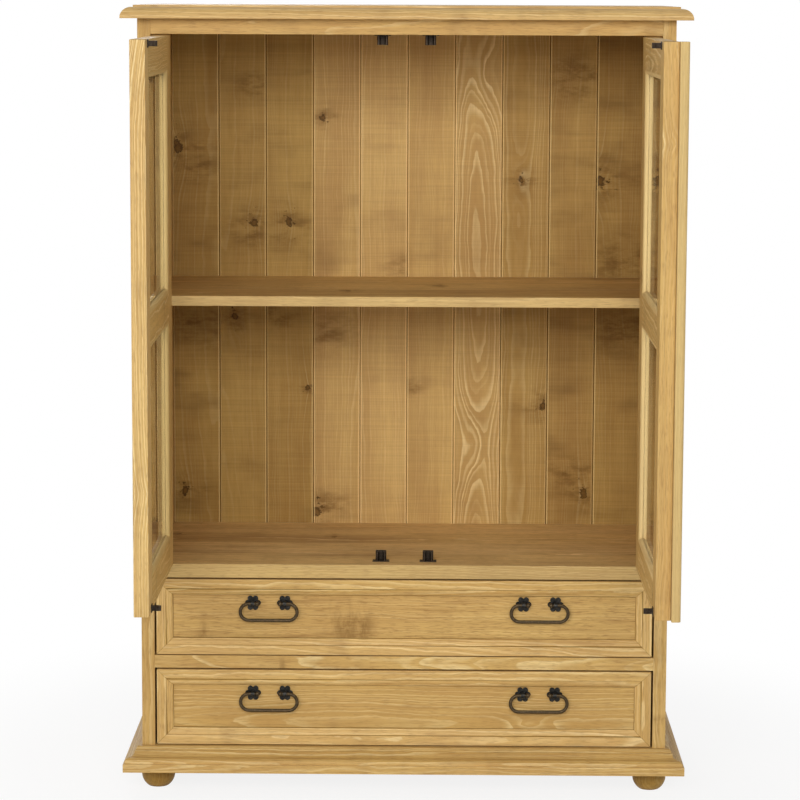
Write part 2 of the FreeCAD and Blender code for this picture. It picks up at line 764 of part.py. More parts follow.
def rosette(x, z):
    """A six-petalled plate with the eye that carries a bail and the stem through the drawer front."""
    plate = [rod("boss_radius", "rosette_thickness", x, "panel_y", z, TO_FRONT)]
    for side in (-1, 1):
        for across, up in (("petal_offset / 2", -1), ("petal_offset", 0), ("petal_offset / 2", 1)):
            at = (f"{x} + {side} * {across}", "panel_y", f"{z} + {up} * petal_rise")
            plate.append(rod("petal_radius", "rosette_thickness", *at, TO_FRONT))
    post = rod("post_radius", "eye_reach", x, "panel_y", z, TO_FRONT)
    eye = rod("eye_radius", "eye_width", f"{x} - eye_width / 2", "eye_y", z, TO_RIGHT)
    bore = rod("bail_hole_radius", "2 * eye_width", f"{x} - eye_width", "eye_y", z, TO_RIGHT)
    stem = rod("stem_radius", "front_panel_thickness + nut_thickness + stem_end", x, "panel_y", z, TO_BACK)
    return cut(fuse(*plate, post, eye, stem), bore)


def nut(x, z):
    blank = doc.addObject("Part::Prism", "nut")
    blank.Polygon = 6
    bind(blank, Circumradius="nut_radius", Height="nut_thickness")
    place(blank, x, "box_y", z, TO_BACK)
    return cut(blank, rod("stem_radius + stem_clearance", "nut_thickness", x, "box_y", z, TO_BACK))


def bail():
    """A drop of round bar, bent to a long ring with its ends turned in through the eyes to knobs."""
    body = new_body()
    bend_end = "bail_straight + bail_bend"
    path = outline(
        body,
        "XZ_Plane",
        [
            ("-bail_end", "0"),
            ("-bail_straight", "0", "bail_bend", 1),
            (f"-({bend_end})", "-bail_bend", "bail_bend", 1),
            ("-bail_straight", "-bail_drop"),
            ("bail_straight", "-bail_drop", "bail_bend", 1),
            (bend_end, "-bail_bend", "bail_bend", 1),
            ("bail_straight", "0"),
            ("bail_end", "0"),
        ],
        closed=False,
    )
    section = body.newObject("Sketcher::SketchObject", "bar")
    section.AttachmentSupport = [(next(p for p in body.Origin.OriginFeatures if p.Role == "YZ_Plane"), "")]
    section.MapMode = "FlatFace"
    section.setExpression("AttachmentOffset.Base.z", full("-bail_end"))
    circle = section.addGeometry(Part.Circle(FreeCAD.Vector(), Z_AXIS, value("bail_wire / 2")), False)
    section.addConstraint(Sketcher.Constraint("Coincident", circle, 3, -1, 1))
    size = section.addConstraint(Sketcher.Constraint("Radius", circle, value("bail_wire / 2")))
    section.setExpression(f"Constraints[{size}]", full("bail_wire / 2"))
    pipe = body.newObject("PartDesign::AdditivePipe", "bar_along_path")
    pipe.Profile = section
    pipe.Spine = (path, [f"Edge{number + 1}" for number in range(path.GeometryCount)])
    knobs = []
    for hand in (LEFT, RIGHT):
        knob = doc.addObject("Part::Sphere", "knob")
        bind(knob, Radius="bail_knob / 2")
        knobs.append(place(knob, f"{hand} * bail_end", "0", "0"))
    return fuse(body, *knobs)


def tail(hand, middle, spare):
    """A tail of a lapped dovetail, from a drawer's side into its front, or its socket with room to spare."""
    root = f"(tail_root / 2 + {spare})"
    tip = f"(tail_root / 2 + tail_splay + {spare})"
    end_y = f"box_y - tail_length - {spare}"
    section = [
        ("box_y", f"{middle} - {root}"),
        ("box_y", f"{middle} + {root}"),
        (end_y, f"{middle} + {tip}"),
        (end_y, f"{middle} - {tip}"),
    ]
    start_x = sided(hand, "drawer_inner", "drawer_half")[0]
    return place(profile("YZ_Plane", section, "drawer_side_thickness"), start_x, "0", "0")


def drawer(name, opening_z):
    front_z = (f"({opening_z} + drawer_low_gap)", f"({opening_z} + drawer_opening - drawer_top_gap)")
    slide_z = f"({opening_z} + drawer_slide_gap)"
    groove_z = f"({slide_z} + drawer_bottom_rise)"
    groove_top = f"({groove_z} + drawer_bottom_thickness + groove_clearance)"
    side_z = (slide_z, f"({opening_z} + drawer_opening - drawer_side_drop)")
    tail_pitch = f"({side_z[1]} - {slide_z}) / tail_count"
    tails = range(round(value("tail_count")))
    tails_z = [f"({slide_z} + ({index} + 1 / 2) * {tail_pitch})" for index in tails]
    front_x = ("-drawer_half", "drawer_half")
    groove_x = "drawer_inner + groove_depth"

    handle_z = f"({front_z[1]} - frame_width - rosette_clearance - petal_rise - petal_radius)"
    handles_x = {hand: f"{hand} * handle_distance" for hand in (LEFT, RIGHT)}
    stems_x = [f"({x} + {end} * rosette_spacing / 2)" for x in handles_x.values() for end in (-1, 1)]

    waste = [board((f"-({groove_x})", groove_x), ("box_y - groove_depth", "box_y"), (groove_z, groove_top))]
    for x in stems_x:
        at = (x, "panel_y", handle_z)
        waste.append(rod("stem_radius + stem_clearance", "front_panel_thickness", *at, TO_BACK))
    for hand in (LEFT, RIGHT):
        waste += [tail(hand, middle, "tail_clearance") for middle in tails_z]
    node(f"{name}_front_panel", cut(board(front_x, ("panel_y", "box_y"), front_z), *waste))
    frame = frame_of_strips(front_moulding_section, "frame_width", front_x, "panel_y", front_z, -1)
    node(f"{name}_front_moulding", group(frame))

    sides = []
    for hand in (LEFT, RIGHT):
        blank = board(sided(hand, "drawer_inner", "drawer_half"), ("box_y", "box_end"), side_z)
        groove_y = ("box_y - tail_length", "box_end")
        bottom_groove = board(sided(hand, "drawer_inner", groove_x), groove_y, (groove_z, groove_top))
        side_tails = [tail(hand, middle, "0") for middle in tails_z]
        sides.append(cut(fuse(blank, *side_tails), bottom_groove))
    node(f"{name}_sides", group(sides))
    back_span = ("box_end - drawer_side_thickness", "box_end")
    node(f"{name}_back", board(("-drawer_inner", "drawer_inner"), back_span, (groove_top, side_z[1])))
    bottom_half = f"{groove_x} - groove_clearance"
    bottom_y = ("box_y - groove_depth + groove_clearance", "box_end")
    bottom_z = (groove_z, f"{groove_z} + drawer_bottom_thickness")
    node(f"{name}_bottom", board((f"-({bottom_half})", bottom_half), bottom_y, bottom_z))

    node(f"{name}_rosettes", group([rosette(x, handle_z) for x in stems_x]))
    node(f"{name}_handle_nuts", group([nut(x, handle_z) for x in stems_x]))
    for hand, x in handles_x.items():
        node(f"{name}_{SIDE_NAMES[hand]}_bail", place(bail(), x, "eye_y", handle_z))


drawer("lower_drawer", "lower_z")
drawer("upper_drawer", "upper_z")

doc.recompute()
for thing in doc.Objects:
    if "Invalid" in thing.State or "Error" in thing.State:
        raise RuntimeError(f"{thing.Label} failed: {thing.State}")
for piece in nodes:
    if piece.Shape.isNull() or not piece.Shape.isValid():
        raise RuntimeError(f"{piece.Label} has no valid shape")
os.makedirs("parts", exist_ok=True)
for piece in nodes:
    piece.Shape.exportStep(f"parts/{piece.Label}.step")
print(len(nodes), "nodes,", sum(len(piece.Shape.Solids) for piece in nodes), "solids")
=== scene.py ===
"""Looks of a waxed pine display cabinet with glazed doors and two drawers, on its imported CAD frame."""
import json
import math
import random

import bmesh
import bpy
from mathutils import Matrix, Vector

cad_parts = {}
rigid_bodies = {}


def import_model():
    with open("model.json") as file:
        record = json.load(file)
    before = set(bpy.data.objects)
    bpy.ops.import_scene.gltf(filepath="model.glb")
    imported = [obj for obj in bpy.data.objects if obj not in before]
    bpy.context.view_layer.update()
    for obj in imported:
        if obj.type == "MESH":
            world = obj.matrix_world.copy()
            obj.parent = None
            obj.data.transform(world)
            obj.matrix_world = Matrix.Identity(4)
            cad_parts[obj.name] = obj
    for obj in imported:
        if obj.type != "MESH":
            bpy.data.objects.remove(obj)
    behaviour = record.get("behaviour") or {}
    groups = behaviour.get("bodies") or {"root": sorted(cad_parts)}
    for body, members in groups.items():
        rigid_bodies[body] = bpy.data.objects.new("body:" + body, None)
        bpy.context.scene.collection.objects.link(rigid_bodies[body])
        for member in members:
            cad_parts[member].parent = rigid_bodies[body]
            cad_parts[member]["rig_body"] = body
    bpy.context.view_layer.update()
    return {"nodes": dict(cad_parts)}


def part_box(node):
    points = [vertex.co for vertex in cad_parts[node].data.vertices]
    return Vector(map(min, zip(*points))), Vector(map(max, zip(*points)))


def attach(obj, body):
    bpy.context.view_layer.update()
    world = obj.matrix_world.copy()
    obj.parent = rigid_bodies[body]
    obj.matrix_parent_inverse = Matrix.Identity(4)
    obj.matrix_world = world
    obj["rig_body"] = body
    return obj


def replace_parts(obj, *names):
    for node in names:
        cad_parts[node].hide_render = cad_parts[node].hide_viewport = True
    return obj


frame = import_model()

# Side panels: wide boards of knotty pine, each glued up from four staves and stained with honey wax.
# The stain sinks into the soft spring wood, so the hard summer wood stands out as paler lines.
# Their edges are sanded round by hand, and the hinges' shanks are screwed into their front edges.


def wire(tree, kind, *feeds, **settings):
    """A shader node with its settings made, and its inputs fed in order by sockets or plain values."""
    made = tree.nodes.new(kind)
    for name, setting in settings.items():
        setattr(made, name, setting)
    for socket, source in zip(made.inputs, feeds):
        if isinstance(source, bpy.types.NodeSocket):
            tree.links.new(source, socket)
        elif source is not None:
            socket.default_value = source
    return made


def calc(tree, operation, *feeds):
    """The result of one step of arithmetic."""
    return wire(tree, "ShaderNodeMath", *feeds, operation=operation).outputs[0]


def ramp(tree, source, start, end, low=0.0, high=1.0):
    """A smooth step of a value, from low at start to high at end."""
    return wire(
        tree, "ShaderNodeMapRange", source, start, end, low, high, interpolation_type="SMOOTHSTEP"
    ).outputs[0]


def blend(tree, amount, under, over):
    """One colour laid over another by an amount."""
    feeds = (amount, None, None, None, None, None, under, over)
    return wire(tree, "ShaderNodeMix", *feeds, data_type="RGBA").outputs[2]


def speckle(tree, place, scale=1.0, detail=2.0, roughness=0.5):
    """A cloudy pattern."""
    return wire(tree, "ShaderNodeTexNoise", place, None, scale, detail, roughness).outputs


def reach(tree, place):
    """How far a place lies from the origin."""
    return wire(tree, "ShaderNodeVectorMath", place, operation="LENGTH").outputs["Value"]


timber_group = bpy.data.node_groups.new("sawn_pine", "ShaderNodeTree")
timber_marks = {
    "Timber": "timber",
    "Knot A": "knot_a",
    "Knot B": "knot_b",
    "Smudge A": "smudge_a",
    "Smudge B": "smudge_b",
}
timber_looks = (
    "Lines",
    "Swirl",
    "Streaks",
    "Smears",
    "Flecks",
    "Blotches",
    "Stains",
    "Halo",
    "Knots",
    "Rims",
    "Saw Marks",
)
for name in timber_marks:
    timber_group.interface.new_socket(name, in_out="INPUT", socket_type="NodeSocketVector")
timber_group.interface.new_socket("Ring Width", in_out="INPUT", socket_type="NodeSocketFloat")
for name in timber_looks:
    timber_group.interface.new_socket(name, in_out="OUTPUT", socket_type="NodeSocketFloat")
given = timber_group.nodes.new("NodeGroupInput").outputs
result = timber_group.nodes.new("NodeGroupOutput").inputs
timber_parts = wire(timber_group, "ShaderNodeSeparateXYZ", given["Timber"]).outputs
timber_along, timber_across, timber_depth = timber_parts


def in_timber(operation, *feeds):
    """One step of arithmetic inside the timber's group."""
    return calc(timber_group, operation, *feeds)


def figure(scale_along, scale_across, detail=2.0, roughness=0.5):
    """A cloudy pattern in the timber, which a smaller scale along the grain draws out."""
    scales = (scale_along, scale_across, scale_across)
    scaled = [in_timber("MULTIPLY", part, scale) for part, scale in zip(timber_parts, scales)]
    place = wire(timber_group, "ShaderNodeCombineXYZ", *scaled).outputs[0]
    return speckle(timber_group, place, detail=detail, roughness=roughness)


def bell(distance, width, power):
    """A curve that is 1 at no distance and gone at about three times the width."""
    share = in_timber("POWER", in_timber("DIVIDE", distance, width), power)
    return in_timber("EXPONENT", in_timber("MULTIPLY", share, -1.0))


def from_spot(mark):
    """How far a place is from a knot or a smudge, along and across the grain, and the spot's size."""
    spot_along, spot_across, size = wire(timber_group, "ShaderNodeSeparateXYZ", given[mark]).outputs
    away_along = in_timber("SUBTRACT", timber_along, spot_along)
    return away_along, in_timber("SUBTRACT", timber_across, spot_across), size


def oval(away_along, away_across, squash_along, squash_across):
    """The distance from the middle of a spot, where a small squash draws the oval out."""
    squashed_along = in_timber("MULTIPLY", away_along, squash_along)
    squashed_across = in_timber("MULTIPLY", away_across, squash_across)
    place = wire(timber_group, "ShaderNodeCombineXYZ", squashed_along, squashed_across).outputs[0]
    return reach(timber_group, place)


# The heart of the tree wanders from side to side, which draws arches and ovals on a flat-sawn face.
sway_width, sway_depth, waver_width = 0.03, 0.06, 0.018
wander = wire(timber_group, "ShaderNodeSeparateColor", figure(1.0, 2.5, detail=1.5)["Color"]).outputs
sway_across, sway_deep = [in_timber("SUBTRACT", part, 0.5) for part in wander[:2]]
waver = in_timber("SUBTRACT", figure(5.0, 18.0)["Fac"], 0.5)
heart_across = in_timber("MULTIPLY_ADD", sway_across, sway_width, timber_across)
heart_across = in_timber("MULTIPLY_ADD", waver, waver_width, heart_across)
heart_deep = in_timber("MULTIPLY_ADD", sway_deep, sway_depth, timber_depth)
heart = wire(timber_group, "ShaderNodeCombineXYZ", heart_across, heart_deep).outputs[0]
radius = reach(timber_group, heart)

# A knot, sized by its radius, pushes the rings aside. A negative radius gives the swirl alone.
# How far its swell, its dark halo and its smear spread is given in radii.
swell_spread, swell_height, halo_spread, smear_spread = 2.3, 1.5, 4.0, 4.6
smallest_knot = 0.00001
ragged = in_timber("MULTIPLY_ADD", figure(110.0, 80.0, 3.0, 0.65)["Fac"], 4.0, -1.0)
ragged = in_timber("MAXIMUM", ragged, 0.25)
smoky = ramp(timber_group, figure(42.0, 17.0, 5.0, 0.68)["Fac"], 0.36, 0.66, 0.1, 1.0)
knot_masks, rims, swirls, halos = [], [], [], []
for knot in ("Knot A", "Knot B"):
    *away, knot_radius = from_spot(knot)
    size = in_timber("ABSOLUTE", knot_radius)
    near_knot = oval(*away, squash_along=0.75, squash_across=1.0)
    beside_knot = oval(*away, squash_along=2.2, squash_across=0.55)
    past_knot = oval(*away, squash_along=0.35, squash_across=1.0)
    swell = bell(past_knot, in_timber("MULTIPLY", size, swell_spread), power=1.35)
    radius = in_timber("MULTIPLY_ADD", swell, in_timber("MULTIPLY", size, swell_height), radius)
    swirls.append(in_timber("MULTIPLY", swell, in_timber("GREATER_THAN", size, 0.0)))
    share = in_timber("DIVIDE", near_knot, in_timber("MAXIMUM", knot_radius, smallest_knot))
    share = in_timber("MULTIPLY", share, ragged)
    knot_masks.append(ramp(timber_group, share, 1.15, 0.6))
    rims.append(in_timber("MULTIPLY", ramp(timber_group, share, 0.3, 0.7), knot_masks[-1]))
    dark = bell(near_knot, in_timber("MULTIPLY", size, halo_spread), power=2.0)
    smeared = bell(beside_knot, in_timber("MULTIPLY", size, smear_spread), power=2.0)
    dark = in_timber("MAXIMUM", dark, smeared)
    dark = in_timber("MULTIPLY", dark, in_timber("GREATER_THAN", knot_radius, 0.0))
    halos.append(in_timber("MULTIPLY", dark, smoky))

# A smudge, sized by its spread, is a patch where the stain sank in deeper.
for smudge in ("Smudge A", "Smudge B"):
    *away, spread = from_spot(smudge)
    patch = oval(*away, squash_along=0.9, squash_across=0.6)
    dark = bell(patch, spread, power=2.0)
    dark = in_timber("MULTIPLY", dark, in_timber("GREATER_THAN", spread, 0.0))
    halos.append(in_timber("MULTIPLY", dark, smoky))
halo = halos[0]
for other in halos[1:]:
    halo = in_timber("MAXIMUM", halo, other)

# The rings lie closer in some seasons than in others, and a poor year leaves only a faint line.
shiver_width, season_scale, season_rings = 0.0064, 70.0, 3.6
faintest_line = 0.15
shiver = in_timber("SUBTRACT", figure(11.0, 30.0, 3.0, 0.55)["Fac"], 0.5)
radius = in_timber("MULTIPLY_ADD", shiver, shiver_width, radius)
seasons = in_timber("MULTIPLY", radius, season_scale)
seasons = wire(timber_group, "ShaderNodeCombineXYZ", seasons).outputs[0]
seasons = in_timber("MULTIPLY", speckle(timber_group, seasons)["Fac"], season_rings)
rings = in_timber("ADD", in_timber("DIVIDE", radius, given["Ring Width"]), seasons)
year = in_timber("FRACT", rings)
summer = ramp(timber_group, year, 0.35, 0.86)
summer = in_timber("MULTIPLY", summer, ramp(timber_group, year, 1.0, 0.9))
growth = wire(
    timber_group, "ShaderNodeTexWhiteNoise", None, in_timber("FLOOR", rings), noise_dimensions="1D"
).outputs["Value"]
growth = ramp(timber_group, growth, 0.0, 1.0, faintest_line, 1.0)
for name, source in (
    ("Lines", in_timber("MULTIPLY", summer, growth)),
    ("Swirl", in_timber("MAXIMUM", *swirls)),
    ("Halo", halo),
    ("Knots", in_timber("MAXIMUM", *knot_masks)),
    ("Rims", in_timber("MAXIMUM", *rims)),
    ("Saw Marks", figure(430.0, 6.0, detail=1.0)["Fac"]),
):
    timber_group.links.new(source, result[name])

# Marks of the stain: a pattern's scales along and across the grain, and from where to where it shows.
for name, scale_along, scale_across, detail, roughness, start, full in (
    ("Streaks", 4.0, 190.0, 3.0, 0.60, 0.36, 0.72),
    ("Smears", 7.0, 95.0, 3.0, 0.60, 0.54, 0.74),
    ("Flecks", 48.0, 560.0, 2.0, 0.60, 0.50, 0.68),
    ("Blotches", 2.2, 9.0, 4.0, 0.60, 0.30, 0.70),
    ("Stains", 13.0, 5.0, 3.0, 0.55, 0.50, 0.78),
):
    pattern = figure(scale_along, scale_across, detail, roughness)["Fac"]
    timber_group.links.new(ramp(timber_group, pattern, start, full), result[name])


def blank_finish(name):
    """A new material and its empty tree of nodes."""
    finish = bpy.data.materials.new(name)
    finish.use_nodes = True
    finish.node_tree.nodes.clear()
    return finish, finish.node_tree


def laid_on(tree, shader):
    """The shader as the material's surface."""
    output = tree.nodes.new("ShaderNodeOutputMaterial")
    tree.links.new(shader.outputs[0], output.inputs["Surface"])


def pine(name, ground, ruddy, line, streaks, saw_marks, gloss):
    """A finish on pine: the stained ground, its ruddier patches, the pale summer lines and the knots."""
    finish, tree = blank_finish(name)
    ring_width = 0.0036
    relief_strength, relief_height = 0.25, 0.0004
    swirl_lines, end_stain, end_matt, polish = 0.45, 0.4, 0.4, 0.06
    tone_light, tone_richness = 0.12, -0.03
    marks = {
        mark: wire(tree, "ShaderNodeAttribute", attribute_name=mark).outputs["Vector"]
        for mark in ("board", "stain", *timber_marks.values())
    }
    strength, end_grain, tone = wire(tree, "ShaderNodeSeparateXYZ", marks["board"]).outputs
    stained, flecked, bare = wire(tree, "ShaderNodeSeparateXYZ", marks["stain"]).outputs
    sawn = wire(tree, "ShaderNodeGroup", node_tree=timber_group)
    for socket, mark in timber_marks.items():
        tree.links.new(marks[mark], sawn.inputs[socket])
    sawn.inputs["Ring Width"].default_value = ring_width
    strength = calc(tree, "MULTIPLY_ADD", sawn.outputs["Swirl"], swirl_lines, strength)
    shown = calc(tree, "MINIMUM", calc(tree, "MULTIPLY", sawn.outputs["Lines"], strength), 1.0)
    colour = blend(tree, sawn.outputs["Blotches"], (*ground, 1), (*ruddy, 1))
    colour = blend(tree, shown, colour, (*line, 1))
    for mark, amount, over in (
        ("Streaks", streaks, (0.37, 0.205, 0.060, 1)),
        ("Smears", flecked, (0.34, 0.180, 0.052, 1)),
        ("Flecks", flecked, (0.28, 0.145, 0.040, 1)),
        ("Stains", stained, (0.19, 0.098, 0.028, 1)),
        ("Halo", 0.86, (0.19, 0.092, 0.020, 1)),
        ("Knots", 0.86, (0.150, 0.068, 0.010, 1)),
        ("Rims", 0.66, (0.045, 0.020, 0.003, 1)),
    ):
        colour = blend(tree, calc(tree, "MULTIPLY", sawn.outputs[mark], amount), colour, over)
    colour = blend(tree, calc(tree, "MULTIPLY", end_grain, end_stain), colour, (0.33, 0.17, 0.05, 1))
    colour = blend(tree, bare, colour, (*line, 1))
    ridge = calc(tree, "SUBTRACT", sawn.outputs["Saw Marks"], 0.5)
    light = calc(tree, "MULTIPLY_ADD", tone, tone_light, 1.0)
    light = calc(tree, "MULTIPLY_ADD", ridge, saw_marks, light)
    richer = calc(tree, "MULTIPLY_ADD", tone, tone_richness, 1.0)
    colour = wire(tree, "ShaderNodeHueSaturation", 0.5, richer, light, 1.0, colour).outputs[0]
    relief = calc(tree, "MULTIPLY_ADD", ridge, saw_marks, shown)
    bump = wire(tree, "ShaderNodeBump", relief_strength, relief_height)
    tree.links.new(relief, bump.inputs["Height"])
    shader = tree.nodes.new("ShaderNodeBsdfPrincipled")
    shader.inputs["IOR"].default_value = 1.45
    shader.inputs["Specular IOR Level"].default_value = 0.22
    tree.links.new(colour, shader.inputs["Base Color"])
    rough = ramp(tree, shown, 0.0, 1.0, gloss + polish, gloss - polish)
    tree.links.new(calc(tree, "MULTIPLY_ADD", end_grain, end_matt, rough), shader.inputs["Roughness"])
    tree.links.new(bump.outputs[0], shader.inputs["Normal"])
    laid_on(tree, shader)
    return finish


def once(parts):
    """Each part of a shape once, in the order given, so that every run works in the same order."""
    return list(dict.fromkeys(parts))


def eased(node, ease):
    """A CAD piece's shape with its seams closed, solid by solid, and its sharp edges rounded.
    The triangles of a solid come one after another, and its surface closes with the last of them."""
    seam = 0.000002
    flat, sharp = math.radians(0.5), math.radians(38)
    shape = bmesh.new()
    shape.from_mesh(frame["nodes"][node].data)
    solids, corners, open_edges = [], [], set()
    for face in shape.faces:
        corners += face.verts
        places = [tuple(round(x, 6) for x in vert.co) for vert in face.verts]
        for edge in zip(places, places[1:] + places[:1]):
            if edge[::-1] in open_edges:
                open_edges.remove(edge[::-1])
            else:
                open_edges.add(edge)
        if not open_edges:
            solids.append(corners)
            corners = []
    for corners in solids + [corners]:
        bmesh.ops.remove_doubles(shape, verts=once(corners), dist=seam)
    bmesh.ops.dissolve_limit(shape, angle_limit=flat, verts=shape.verts, edges=shape.edges)
    arrises = [edge for edge in shape.edges if edge.is_manifold and edge.calc_face_angle() > sharp]
    bmesh.ops.bevel(
        shape,
        geom=arrises,
        offset=ease,
        offset_type="OFFSET",
        segments=2,
        profile=0.5,
        affect="EDGES",
        material=-1,
        clamp_overlap=True,
    )
    return shape


def finished(name, shape, finish, body):
    """The object of a shape, which moves with a body of the frame and takes its finish from a slot."""
    crease = math.radians(26)
    mesh = bpy.data.meshes.new(name)
    shape.to_mesh(mesh)
    shape.free()
    mesh.shade_smooth()
    mesh.set_sharp_from_angle(angle=crease)
    mesh.materials.append(finish)
    piece = bpy.data.objects.new(name, mesh)
    bpy.context.scene.collection.objects.link(piece)
    piece.modifiers.new("even_faces", "WEIGHTED_NORMAL").keep_sharp = True
    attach(piece, body)
    return piece


def lowest_corner(board):
    """The corner that puts a board in its place among the others."""
    return min(tuple(round(x, 4) for x in vert.co) for face in board for vert in face.verts)


def boards_in(shape):
    """The separate boards of a piece, from left to right, then from front to back, then upwards."""
    loose, boards = dict.fromkeys(shape.faces), []
    while loose:
        reached, board = [loose.popitem()[0]], []
        while reached:
            face = reached.pop()
            board.append(face)
            touching = once(near for edge in face.edges for near in edge.link_faces if near in loose)
            for near in touching:
                del loose[near]
            reached += touching
        boards.append(board)
    return sorted(boards, key=lowest_corner)


def wooden(
    node,
    finish,
    ease=0.0009,
    staves=1,
    run=None,
    knotty=0.12,
    lines=(0.3, 0.8),
    tone=0.0,
    stain=0.25,
    fleck=0.4,
    known=(),
    shade=None,
    carve=None,
):
    """A CAD piece in wood: eased edges, and each stave's own place in the tree that it was sawn from.
    A board that is known has its line strength, its heart's place, its knots and its smudges given.
    The shade of a face is how much darker it is than the rest, and how bare its wood is.
    The run is the axis that the grain follows, where that isn't the longest one."""
    tone_spread, heart_spread, knot_spread, tilt_spread = 0.4, 0.7, 0.4, 0.02
    heart_depths, knot_radii, tree_shifts = (0.012, 0.06), (0.0025, 0.005), (2, 60)
    end_slope = 0.7
    shape = eased(node, ease)
    if carve:
        carve(shape)
    low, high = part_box(node)
    spans = high - low
    if staves > 1:
        wide = sorted(range(3), key=lambda axis: spans[axis])[1]
        for joint in range(1, staves):
            place = low.copy()
            place[wide] += spans[wide] * joint / staves
            side = Vector([axis == wide for axis in range(3)])
            whole = shape.verts[:] + shape.edges[:] + shape.faces[:]
            bmesh.ops.bisect_plane(shape, geom=whole, plane_co=place, plane_no=side)
    board_mark, stain_mark, timber, *spot_marks = [
        shape.loops.layers.float_vector.new(mark) for mark in ("board", "stain", *timber_marks.values())
    ]
    for number, board in enumerate(boards_in(shape)):
        places = [vert.co for face in board for vert in face.verts]
        near = Vector([min(place[axis] for place in places) for axis in range(3)])
        far = Vector([max(place[axis] for place in places) for axis in range(3)])
        thick, wide, long = sorted(range(3), key=lambda axis: far[axis] - near[axis])
        if run is not None and run != long:
            thick, wide, long = thick if thick != run else long, wide if wide != run else long, run
        stave_width = (far[wide] - near[wide]) / staves
        trees = []
        for stave in range(staves):
            chance = random.Random(f"{node} {number} {stave}")
            middle = near[wide] + (stave + 0.5) * stave_width
            from_tree = {
                "lines": chance.uniform(*lines),
                "tone": tone + chance.uniform(-tone_spread, tone_spread),
                "stain": stain,
                "heart": chance.uniform(-heart_spread, heart_spread) * stave_width,
                "under": chance.choice((-1, 1)) * chance.uniform(*heart_depths),
                "knots": [
                    (
                        chance.uniform(near[long], far[long]),
                        chance.uniform(-knot_spread, knot_spread) * stave_width,
                        chance.uniform(*knot_radii) if chance.random() < knotty else 0.0,
                    )
                    for _ in range(2)
                ],
                "smudges": [(0, 0, 0), (0, 0, 0)],
                "shift": chance.uniform(*tree_shifts),
                "tilt": chance.uniform(-tilt_spread, tilt_spread),
                "lean": 0.0,
            }
            if known:
                from_tree.update(known[number])
            from_tree["middle"] = middle
            trees.append(from_tree)
        for face in board:
            stave = int((face.calc_center_median()[wide] - near[wide]) / stave_width)
            tree = trees[min(max(stave, 0), staves - 1)]
            end = 1.0 if abs(face.normal[long]) > end_slope else 0.0
            base = tree["middle"] + tree["heart"]
            darker, bare = shade(face) if shade else (0.0, 0.0)
            spots = [
                (at + tree["shift"], tree["middle"] + beside - base, size)
                for at, beside, size in (*tree["knots"], *tree["smudges"])
            ]
            for corner in face.loops:
                place = corner.vert.co
                under = place[thick] - (near[thick] + far[thick]) / 2 - tree["under"]
                from_middle = place[long] - (near[long] + far[long]) / 2
                under += tree["tilt"] * from_middle
                beside = place[wide] - base + tree["lean"] * from_middle
                corner[timber] = (place[long] + tree["shift"], beside, under)
                corner[board_mark] = (tree["lines"], end, tree["tone"] - darker)
                corner[stain_mark] = (tree["stain"], fleck, bare)
                for mark, spot in zip(spot_marks, spots):
                    corner[mark] = spot
    piece = finished("eased_" + node, shape, finish, frame["nodes"][node]["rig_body"])
    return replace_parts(piece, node)


waxed_pine = pine(
    "waxed_pine",
    ground=(0.60, 0.385, 0.122),
    ruddy=(0.53, 0.318, 0.098),
    line=(0.84, 0.65, 0.31),
    streaks=0.34,
    saw_marks=0.0,
    gloss=0.46,
)
for side in ("left", "right"):
    wooden(f"{side}_side_panel", waxed_pine, ease=0.0014, staves=4, knotty=0.5)

# Rails across the front: the frieze under the top, the rail between the drawers and the one at the base.
# They are planed pine with the grain along them, glued and screwed between the side panels.
flames = {"lines": 0.70, "heart": 0.022, "under": 0.003, "lean": 0.040, "tilt": 0.0, "tone": 0.4}
waves = {"lines": 0.36, "heart": 0.030, "under": -0.006, "lean": 0.012, "tilt": 0.0, "tone": 0.6}
for rail, grain in (
    ("frieze_rail", waves),
    ("drawer_divider_rail", flames),
    ("bottom_front_rail", waves),
):
    wooden(rail, waxed_pine, ease=0.0007, known=[grain])

# Cabinet floor and shelf: boards glued up from staves, planed, stained with the inside and waxed.
# The shelf lies on two battens, and a rail at the top of the back takes the back boards' nails.
planed_pine = pine(
    "planed_pine",
    ground=(0.61, 0.395, 0.133),
    ruddy=(0.35, 0.200, 0.064),
    line=(0.79, 0.585, 0.27),
    streaks=0.30,
    saw_marks=0.0,
    gloss=0.52,
)


def rubbed_edge(face, edge_darkening):
    """Hands rub some of the stain off a front edge, which is also made darker by a given amount, and the
    top keeps its stain.
    """
    rubbed_bare = 0.28
    return (edge_darkening, rubbed_bare) if face.normal.y < -0.7 else (0.0, 0.0)


# Each board, its staves, its tone, and how much darker its front edge is made.
for board, staves, tone, front_darkening in (
    ("shelf", 3, 0.2, 0.2),
    ("cabinet_floor", 4, 1.8, 2.2),
    ("shelf_battens", 1, 0.0, 0.0),
    ("back_top_rail", 1, 0.0, 0.0),
):
    wooden(
        board,
        planed_pine,
        ease=0.0010,
        staves=staves,
        knotty=0.35,
        tone=tone,
        fleck=0.62,
        shade=lambda face: rubbed_edge(face, front_darkening),
    )

# Back: ten matched boards, tongued, grooved and chamfered, left from the saw and stained brown.
# Two of them were sawn near the heart and show arches and ovals, and most of the others have knots.
# They are nailed from behind into the rail, the shelf, the floor and the base board.
inside_pine = pine(
    "inside_pine",
    ground=(0.59, 0.380, 0.128),
    ruddy=(0.45, 0.265, 0.086),
    line=(0.79, 0.585, 0.27),
    streaks=0.16,
    saw_marks=0.26,
    gloss=0.52,
)
